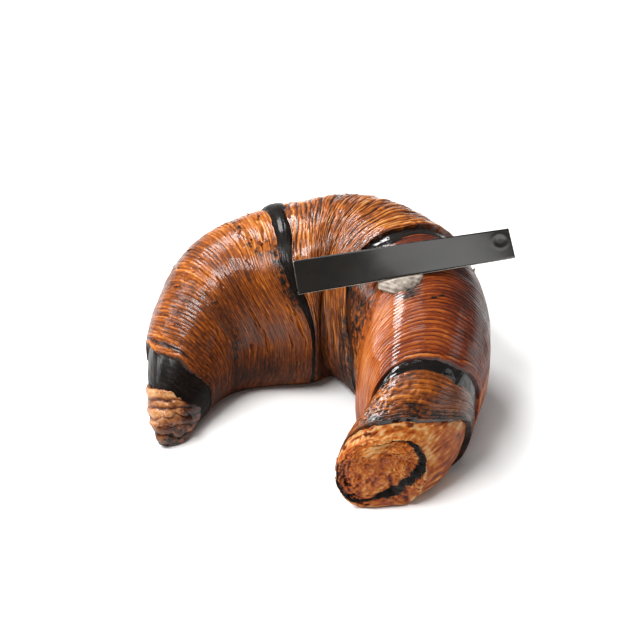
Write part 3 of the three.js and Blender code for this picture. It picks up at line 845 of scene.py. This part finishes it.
def left_tip():
    """The roll's torn pointed end: a short wrap that closes over a blunt, layered nose."""
    mm, turn, u, sink, _ = lay_rings("tip", "patch_foot", (0, 1.0), 71)
    u, keep = np.maximum(u, 0), slice(len(LIP_ROUND), None)
    detail = tip_folds(roll_point(u, turn, np.zeros_like(u)))
    rise = crowded(detail - TIP_SINK, u, turn) * ramp(mm, -2, 2) + sink * (mm > 0)
    points = roll_point(u, turn, rise)[keep]
    rim = points[0]
    core = rim[:-1].mean(0)
    across = frame_at(np.array(0.0))[1]
    heading = np.array([-across[1], across[0], 0])
    t = np.arange(NOSE_RINGS, 0, -1)[:, None] / NOSE_RINGS
    share = np.cos(t * np.pi / 2) ** TIP_BLUNTNESS
    nose = core + (rim - core) * share[..., None]
    ledge = tip_folds(nose) * ramp(t, 0, 0.25)
    nose = nose + heading * (TIP_DOME * np.sin(t * np.pi / 2) + ledge)[..., None]
    nose[..., 2] = np.maximum(nose[..., 2], 0)
    detail = detail[keep]
    hollow = TIP_SHADE * np.concatenate([hollows(ledge), hollows(detail)])
    place = np.concatenate([-NOSE_LENGTH * t[:, 0], mm[keep][:, 0]])
    ring_turn = np.repeat(turn[:1], len(place), 0)
    skin = np.concatenate([nose, points])
    a, b = skin @ FOLD_ALONG, skin @ FOLD_UP
    tone = 0.51 + 0.34 * crumbs(a, b, 3, 341)
    # Browner towards the bay and paler on the outer side.
    tone = tone + 0.15 * ramp(a, -55, -51) - 0.12 * ramp(-a, 61, 66)
    for at_a, at_b, wide, high, paler in PALE_FOLDS:
        tone = tone - paler * bump(a, at_a, wide) * bump(b, at_b, high)
    values = {"bake": tone, "hollow": hollow, "glaze": np.full_like(tone, 0.6),
              "sesame": 0.5 * ramp(ring_turn, 195, 225) * (1 - ramp(ring_turn, 330, 350))}
    piece = sleeve("tip_left", skin, place, values, CRUST_TORN)
    settle(piece, "glazed_crust", "croissant")


left_tip()

# ---- the right end ----------------------------------------------------------------------------
FACE_RADIUS = 15.6                 # mm, mean radius of the spiral face
FACE_RINGS = 120
FACE_SHADE = 0.65                  # the cut face is open, so its hollows get less painted shade
FACE_PITCH = 1.5                   # mm between the layers that the cut shows
END_TUCK = 3                       # mm that the last wrap runs back under the collar
FACE_PALE = (0.62, 108, 0.2, 26)   # share of the radius, turn and the reach of each
FACE_PITTED = (0.84, 222, 0.16, 40)
FACE_BROWNER = (0.86, 200, 0.12, 50)
# The black sheet on the face: (turn, share of the radius), wound inwards past a full turn.
SHEET_LINE = [(150, 1.06), (172, 1.0), (218, 0.98), (240, 0.89), (262, 0.78), (290, 0.66), (320, 0.62),
              (350, 0.76), (366, 0.92), (382, 0.985), (404, 0.985), (420, 0.97), (436, 0.93), (448, 0.85),
              (470, 0.74)]
SHEET_COMES = (150, 172)
SHEET_GOES = (438, 468)


def face_marks(share, turn):
    """Distance in mm from the black sheet (inwards is positive), how strongly it shows, and how
    far inside it a point lies."""
    gap, shows, within = np.full(share.shape, 99.0), np.zeros(share.shape), np.zeros(share.shape)
    for winding in (turn, turn + 360):
        line = np.interp(winding, *zip(*SHEET_LINE))
        live = ramp(winding, *SHEET_COMES) * (1 - ramp(winding, *SHEET_GOES))
        here = (line - share) * FACE_RADIUS
        nearer = (np.abs(here) < np.abs(gap)) & (live > 0)
        gap = np.where(nearer, here, gap)
        shows = np.where(nearer, live, shows)
        within = within + live * ramp(here, 0, 1.2)
    return gap, shows, within


def sheet_width(turn):
    """Half the black sheet's width in mm: thick and lumpy towards the outer side."""
    return 0.45 + 1.15 * (ramp(turn, 250, 300) + (1 - ramp(turn, 40, 75)) * (turn < 180))


def right_end():
    """The last wrap and the spiral face that it ends in. The black sheet is wound into the face,
    layers stack up at its left and its core is crumb."""
    mm, turn, u, sink, length = lay_rings("mouth", "end", (END_TUCK, 0), 81)
    keep = slice(None, -len(LIP_ROUND))
    u = np.where(mm > length - 0.01, 1, np.minimum(u, 1))
    share = mm / length
    body = lerp(-1.6, -1.0, share) + 0.5 * np.sin(np.pi * share) + 0.3 * rough(mm, turn, 5, 14, 83)
    detail = 0.28 * (lamination(mm, turn, FACE_PITCH, 82) - MEAN_LAYER)
    detail = detail + 0.45 * rough(mm, turn, 1.8, 50, 84, 4)
    points = roll_point(u, turn, crowded(body, u, turn) + detail + sink * (mm < 1))[keep]
    mm, turn, detail = mm[keep], turn[keep], detail[keep]
    rim = points[-1]
    across = frame_at(np.array(1.0))[1]
    heading = np.array([across[1], -across[0], 0])
    core = rim[:-1].mean(0) + np.array([across[0] * CORE_ASIDE, across[1] * CORE_ASIDE, CORE_UP])
    radius = 1 - np.arange(1, FACE_RINGS + 1) / FACE_RINGS
    radius, face_turn = np.meshgrid(radius, turn[0], indexing="ij")
    inwards = (1 - radius) * FACE_RADIUS
    gap, shows, within = face_marks(radius, face_turn)
    x = radius * np.cos(np.radians(face_turn)) * FACE_RADIUS
    y = radius * np.sin(np.radians(face_turn)) * FACE_RADIUS
    crumb = crumbs(x, y, 2.4, 87, 4)
    stacked = ramp(face_turn, 95, 140) * (1 - ramp(face_turn, 250, 285)) * ramp(radius, 0.55, 0.75)
    lines = cords(inwards / FACE_PITCH + 0.25 * rough(inwards, face_turn, 4, 8, 85), face_turn, 12, 85)
    pits = ramp(crumbs(x, y, 1.5, 88), 0.15, 0.4)
    calm = ramp(radius, 0.02, 0.3)
    lumpy = 1 + 0.5 * crumbs(x, y, 2.6, 89, 2)
    sheet = shows * bump(gap, 0.4, sheet_width(face_turn) * lumpy)
    patch = spot_on_face(radius, face_turn, *FACE_PALE)
    crumbly = (1 - 0.7 * patch) * (0.9 * crumb + 0.25 * crumbs(x, y, 0.9, 90, 2))
    face_detail = 0.6 * stacked * (lines - 0.5) + crumbly
    face_detail = face_detail - 0.9 * spot_on_face(radius, face_turn, *FACE_PITTED) * pits
    relief = face_detail * calm - 0.9 * within - 0.5 * sheet * (1 - 0.8 * crumb)
    swell = END_DOME * np.sqrt(1 - radius ** 2) ** END_BLUNTNESS
    face = core + (rim - core) * radius[..., None]
    face = face + heading * (swell + relief * ramp(inwards, 0, 0.6))[..., None]
    face[..., 2] = np.maximum(face[..., 2], 0)
    hollow = np.concatenate([hollows(detail), FACE_SHADE * hollows(relief)])
    values = {
        "bake": np.concatenate([cone_tone(mm, turn), face_tone(radius, face_turn, pits)]),
        "sesame": np.concatenate([np.zeros_like(mm), 1.2 * sheet]),
        "hollow": hollow,
        "glaze": np.full_like(hollow, 0.35),
    }
    place = np.concatenate([mm[:, 0], mm[-1, 0] + inwards[:, 0]])
    piece = sleeve("spiral_end_right", np.concatenate([points, face]), place, values, CRUST_GOLD)
    settle(piece, "glazed_crust", "croissant")


def spot_on_face(share, turn, at_share, at_turn, deep, wide):
    """1 at a place on the spiral face, fading over a share of its radius and degrees round it."""
    return bump(share, at_share, deep) * bump(turn, at_turn, wide)


def cone_tone(mm, turn):
    """The dough round the cut end is golden, and browner on its outer side and below."""
    tone = 0.2 + 0.08 * rough(mm, turn, 4, 14, 351)
    return tone + 0.1 * (1 - ramp(turn, 0, 20)) + 0.15 * ramp(turn, 300, 350)


def face_tone(share, turn, pits):
    """Golden crumb with a pale rim, a patch lighter by painted light, a pitted place darker by painted
    shade, and a browner place.
    """
    tone = 0.3 + 0.16 * rough((1 - share) * FACE_RADIUS, turn, 3, 12, 352)
    # Painted shade: the pits are drawn darker.
    tone = tone + 0.35 * pits * spot_on_face(share, turn, *FACE_PITTED)
    # Painted light: the patch is drawn paler where light falls on the sunk core; its crumb is also
    # smoother.
    tone = tone - 0.25 * spot_on_face(share, turn, *FACE_PALE)
    return tone + 0.1 * spot_on_face(share, turn, *FACE_BROWNER) - 0.14 * bump(share, 0.95, 0.04)


right_end()


# ---- the strip and the cream ------------------------------------------------------------------
STRIP_LEFT = np.array([0.5, -31.9, 58.2])      # lower left corner
STRIP_RIGHT = np.array([60.9, 5.8, 67.0])      # lower right corner
STRIP_WIDTH = 11.2
STRIP_THICKNESS = 0.6
STRIP_LEAN = (45, 24)              # degrees from flat at the left and right ends
STRIP_STEPS = (120, 18)
# A press mark near its right end, by shares along and across it, and in mm.
MARK_ALONG, MARK_ACROSS = 0.949, 0.62
MARK_RADIUS, MARK_DEPTH, MARK_SLOPE = 2.4, 0.09, 0.9
STRIP_WAVE = 0.2
CARD_CORNER = 0.07                 # its edges' rounding


def strip_axes(t):
    """At a share t along the strip: its lower edge, the way up its face and the way out of it."""
    along = STRIP_RIGHT - STRIP_LEFT
    run = along / np.linalg.norm(along)
    level = np.array([-run[1], run[0], 0])
    level = level / np.linalg.norm(level)
    upright = np.cross(run, level)
    lean = np.radians(lerp(*STRIP_LEAN, t))[..., None]
    wide = level * np.cos(lean) + upright * np.sin(lean)
    return STRIP_LEFT + along * t[..., None], wide, np.cross(run, wide)


def modify(piece, kind, **settings):
    """Adds one modifier and applies it."""
    modifier = piece.modifiers.new(kind.lower(), kind)
    for key, value in settings.items():
        setattr(modifier, key, value)
    deselect()
    bpy.context.view_layer.objects.active = piece
    piece.select_set(True)
    bpy.ops.object.modifier_apply(modifier=modifier.name)


def name_strip():
    """A bare black card strip, slightly twisted and waved, with a press mark near its right end."""
    piece, along, across = grid("name_strip_card", *STRIP_STEPS)
    t, w = along / STRIP_STEPS[0], across / STRIP_STEPS[1]
    foot, wide, outward = strip_axes(t)
    length = np.linalg.norm(STRIP_RIGHT - STRIP_LEFT)
    from_mark = np.hypot((t - MARK_ALONG) * length, (w - MARK_ACROSS) * STRIP_WIDTH)
    floor_of_mark = ramp(from_mark, MARK_RADIUS - MARK_SLOPE, MARK_RADIUS) - 1
    press = MARK_DEPTH * (floor_of_mark + 0.6 * bump(from_mark, MARK_RADIUS, 0.5))
    wave = STRIP_WAVE * noise(t * 5, w * 0.7, 91) * np.sin(np.pi * t)
    points = foot + wide * (w * STRIP_WIDTH)[..., None] + outward * (press + wave)[..., None]
    piece.data.vertices.foreach_set("co", in_frame(points).ravel())
    piece.data.materials.append(CARD_FACE)
    piece.data.materials.append(CARD_EDGE)
    deselect()
    bpy.context.view_layer.objects.active = piece
    piece.select_set(True)
    bpy.ops.object.mode_set(mode="EDIT")
    bpy.ops.mesh.select_all(action="SELECT")
    bpy.ops.mesh.normals_make_consistent(inside=False)
    bpy.ops.object.mode_set(mode="OBJECT")
    modify(piece, "SOLIDIFY", thickness=STRIP_THICKNESS * MM, offset=0, material_offset_rim=1,
           use_even_offset=True)
    modify(piece, "BEVEL", width=CARD_CORNER * MM, segments=2, limit_method="ANGLE")
    bpy.ops.object.shade_smooth_by_angle(angle=math.radians(40))
    settle(piece, "strip_plastic", "name_strip")


CREAM_PLACE = np.array([28.3, -12.2, 60.0])
CREAM_RADII = np.array([7.2, 6.6, 4.6])
CREAM_RIBS = 0.22                  # mm, the fine ribs that a spatula leaves
RIBS_ACROSS = np.array([3.9, 11.7, 11.7])      # they cross the dab this way, so many to its size
UNDER_STRIP = 0.05                 # mm that the cream stays below the strip
STRIP_EDGE = (-1.2, 0.2)           # mm across the strip over which it starts to press the cream


def cream_dab():
    """A dab of cream squeezed between the crust and the strip, with fine ribs and a drip."""
    deselect()
    bpy.ops.mesh.primitive_uv_sphere_add(segments=128, ring_count=64, radius=1)
    piece = bpy.context.object
    piece.name = piece.data.name = "cream_dab_spread"
    way = np.zeros(len(piece.data.vertices) * 3)
    piece.data.vertices.foreach_get("co", way)
    way = way.reshape(-1, 3)
    azimuth = np.degrees(np.arctan2(way[:, 1], way[:, 0])) % 360
    lump = 0.1 * noise(way[:, 2] * 2 + 5, azimuth / 60, 93, 6)
    lump = lump + 0.05 * noise(way[:, 2] * 5, azimuth / 24, 94, 15)
    drip = 0.16 * bump(azimuth, 232, 14) * bump(way[:, 2], -0.2, 0.4)
    ribs = CREAM_RIBS * noise(azimuth / 360 * 6, way @ RIBS_ACROSS, 95)
    points = way * (1 + lump + drip)[:, None] * (CREAM_RADII + ribs[:, None]) + CREAM_PLACE
    points = below_strip(points)
    piece.data.vertices.foreach_set("co", in_frame(points).ravel())
    # the ribs' hollows, which the cream's material darkens as painted shade
    paint(piece.data, "hollow", -ribs / CREAM_RIBS)
    bpy.ops.object.shade_smooth()
    piece.data.materials.append(CREAM)
    settle(piece, "cream", "cream_dab")


def below_strip(points):
    """Moves points that are above the strip's back to just below it."""
    run = STRIP_RIGHT - STRIP_LEFT
    t = (points - STRIP_LEFT) @ run / (run @ run)
    foot, wide, outward = strip_axes(t)
    across = ((points - foot) * wide).sum(-1)
    above = ((points - foot) * outward).sum(-1) + STRIP_THICKNESS / 2 + UNDER_STRIP
    pushed = np.clip(above, 0, None) * ramp(across, *STRIP_EDGE)
    return points - outward * pushed[:, None]


name_strip()
cream_dab()


# ---- loose flakes -----------------------------------------------------------------------------
# Scraps of crust that stand off it: (from, to) along the roll, (from, to) round it, and how many.
FLAKE_ZONES = [((0.098, 0.118), (35, 100), 10), ((0.16, 0.36), (30, 120), 16),
               ((0.42, 0.64), (60, 140), 8), ((0.7, 0.88), (30, 130), 10),
               ((0.985, 0.998), (60, 200), 10)]
FLAKE_ROWS, FLAKE_COLUMNS = 4, 3
FLAKE_THICKNESS = 0.14
FLAKE_LEVEL = 0.3                  # mm over the plain roll
FLAKE_HALF_LENGTH = (0.6, 1.5)     # mm, round the roll
FLAKE_HALF_WIDTH = (0.3, 0.6)
FLAKE_SKEW = 0.35                  # radians, how far they turn from the layers
FLAKE_TONES = (0.25, 0.6)


def surface(u, turn, rise):
    """A point of the roll with the ways along it and round it, and the way out."""
    here, ahead = roll_point(u, turn, rise), roll_point(u + 1e-3, turn, rise)
    beside = roll_point(u, turn + 0.5, rise)
    along, around = ahead - here, beside - here
    along = along / np.linalg.norm(along, axis=-1, keepdims=True)
    around = around / np.linalg.norm(around, axis=-1, keepdims=True)
    out = np.cross(along, around)
    return here, along, around, out / np.linalg.norm(out, axis=-1, keepdims=True)


def flake(draw, u, turn):
    """One bent scrap with ragged sides, in mm: a grid of points over its length and width."""
    a, b = np.meshgrid(np.linspace(-1, 1, FLAKE_ROWS + 1), np.linspace(-1, 1, FLAKE_COLUMNS + 1),
                       indexing="ij")
    long, wide = draw.uniform(*FLAKE_HALF_LENGTH), draw.uniform(*FLAKE_HALF_WIDTH)
    here, along, around, out = surface(u, turn, crowded(FLAKE_LEVEL, u, turn))
    skew = draw.normal(0, FLAKE_SKEW)
    lengthways = around * math.cos(skew) + along * math.sin(skew)
    sideways = along * math.cos(skew) - around * math.sin(skew)
    ragged = 1 + 0.35 * draw.uniform(-1, 1, a.shape)
    lift = 0.15 + draw.uniform(0.1, 0.5) * b + draw.uniform(-0.3, 0.3) * a ** 2
    flat = lengthways * (a * long * ragged)[..., None] + sideways * (b * wide * ragged)[..., None]
    return here + flat + out * lift[..., None]


def loose_flakes():
    """Thin bent scraps of baked dough, each a small grid, joined into one piece."""
    draw = np.random.default_rng(17)
    scraps = []
    for (low, high), (start, stop), count in FLAKE_ZONES:
        for _ in range(count):
            u, turn = np.array(draw.uniform(low, high)), np.array(draw.uniform(start, stop))
            points = flake(draw, u, turn)
            scrap, row, column = grid("crust_flakes", FLAKE_ROWS, FLAKE_COLUMNS)
            scrap.data.vertices.foreach_set("co", in_frame(points[row, column]).ravel())
            paint(scrap.data, "bake", np.full(len(row), draw.uniform(*FLAKE_TONES)))
            paint(scrap.data, "glaze", np.full(len(row), 0.5))
            scraps.append(scrap)
    deselect()
    for scrap in scraps:
        scrap.select_set(True)
    piece = bpy.context.view_layer.objects.active = scraps[0]
    bpy.ops.object.join()
    piece.name = piece.data.name = "crust_flakes"
    modify(piece, "SOLIDIFY", thickness=FLAKE_THICKNESS * MM, offset=0)
    bpy.ops.object.shade_smooth()
    piece.data.materials.append(CRUST_GOLD)
    settle(piece, "glazed_crust", "croissant")


loose_flakes()

# ---- stage ------------------------------------------------------------------------------------
AZIMUTH = math.radians(25.3)
ELEVATION = math.radians(38.0)
CAMERA_DISTANCE = 0.6
LOOK_HEIGHT = 0.025
FOCAL_PIXELS = 1710                # for the 640 px frame
FRAME_PIXELS = 640
FRAME_SHIFT = -0.0297              # the croissant stands a little right of the frame's middle
SENSOR = 36.0
LIGHT_DISTANCE = 0.9
# Name, azimuth and elevation in degrees, width and height in metres, and watts.
LIGHTS = [("window_high", 330, 64, 0.42, 0.24, 8.4), ("ceiling", 30, 82, 0.5, 0.3, 1.5),
          ("window_back", 236, 45, 0.34, 0.26, 6.6), ("window_left", 295, 32, 0.2, 0.56, 4.2),
          ("fill_right", 92, 17, 0.6, 0.22, 0.6)]
ROOM_LIGHT = 0.2
FLOOR_SIZE = 6
FLOOR_DROP = 0.0001                # so that the floor and the underside don't share a plane


def towards(azimuth, elevation):
    """Azimuth 0 is the -Y side and 90 the +X side."""
    level = math.cos(elevation)
    return Vector((math.sin(azimuth) * level, -math.cos(azimuth) * level, math.sin(elevation)))


def camera():
    data = bpy.data.cameras.new("camera")
    data.sensor_width = SENSOR
    data.lens = FOCAL_PIXELS / FRAME_PIXELS * SENSOR
    data.shift_x = FRAME_SHIFT
    data.clip_start = 0.01
    eye = bpy.data.objects.new("camera", data)
    back = towards(AZIMUTH, ELEVATION)
    target = Vector((MODEL_SHIFT[0] * MM, MODEL_SHIFT[1] * MM, LOOK_HEIGHT))
    eye.location = target + back * CAMERA_DISTANCE
    eye.rotation_mode = "QUATERNION"
    eye.rotation_quaternion = (-back).to_track_quat("-Z", "Y")
    bpy.context.scene.collection.objects.link(eye)
    bpy.context.scene.camera = eye


def softbox(name, azimuth, elevation, width, height, watts):
    """A white panel of light that faces the part."""
    data = bpy.data.lights.new(name, "AREA")
    data.shape = "RECTANGLE"
    data.size, data.size_y = width, height
    data.energy = watts
    lamp = bpy.data.objects.new(name, data)
    way = towards(math.radians(azimuth), math.radians(elevation))
    lamp.location = way * LIGHT_DISTANCE
    lamp.rotation_mode = "QUATERNION"
    lamp.rotation_quaternion = way.to_track_quat("Z", "Y")
    bpy.context.scene.collection.objects.link(lamp)


def studio():
    """A pale paper floor under the panels, in a dim white room."""
    deselect()
    bpy.ops.mesh.primitive_plane_add(size=FLOOR_SIZE, location=(0, 0, -FLOOR_DROP))
    plane = bpy.context.object
    plane.name = "floor"
    paper = new_material("white_seamless_paper", Base_Color=linear("#f2f2f1"), Roughness=0.9)[0]
    plane.data.materials.append(paper)
    for light in LIGHTS:
        softbox(*light)
    room = bpy.data.worlds.new("studio")
    room.use_nodes = True
    background = room.node_tree.nodes["Background"].inputs
    background["Color"].default_value = linear("#ffffff")
    background["Strength"].default_value = ROOM_LIGHT
    bpy.context.scene.world = room
    bpy.context.scene.view_settings.view_transform = "Standard"


camera()
studio()
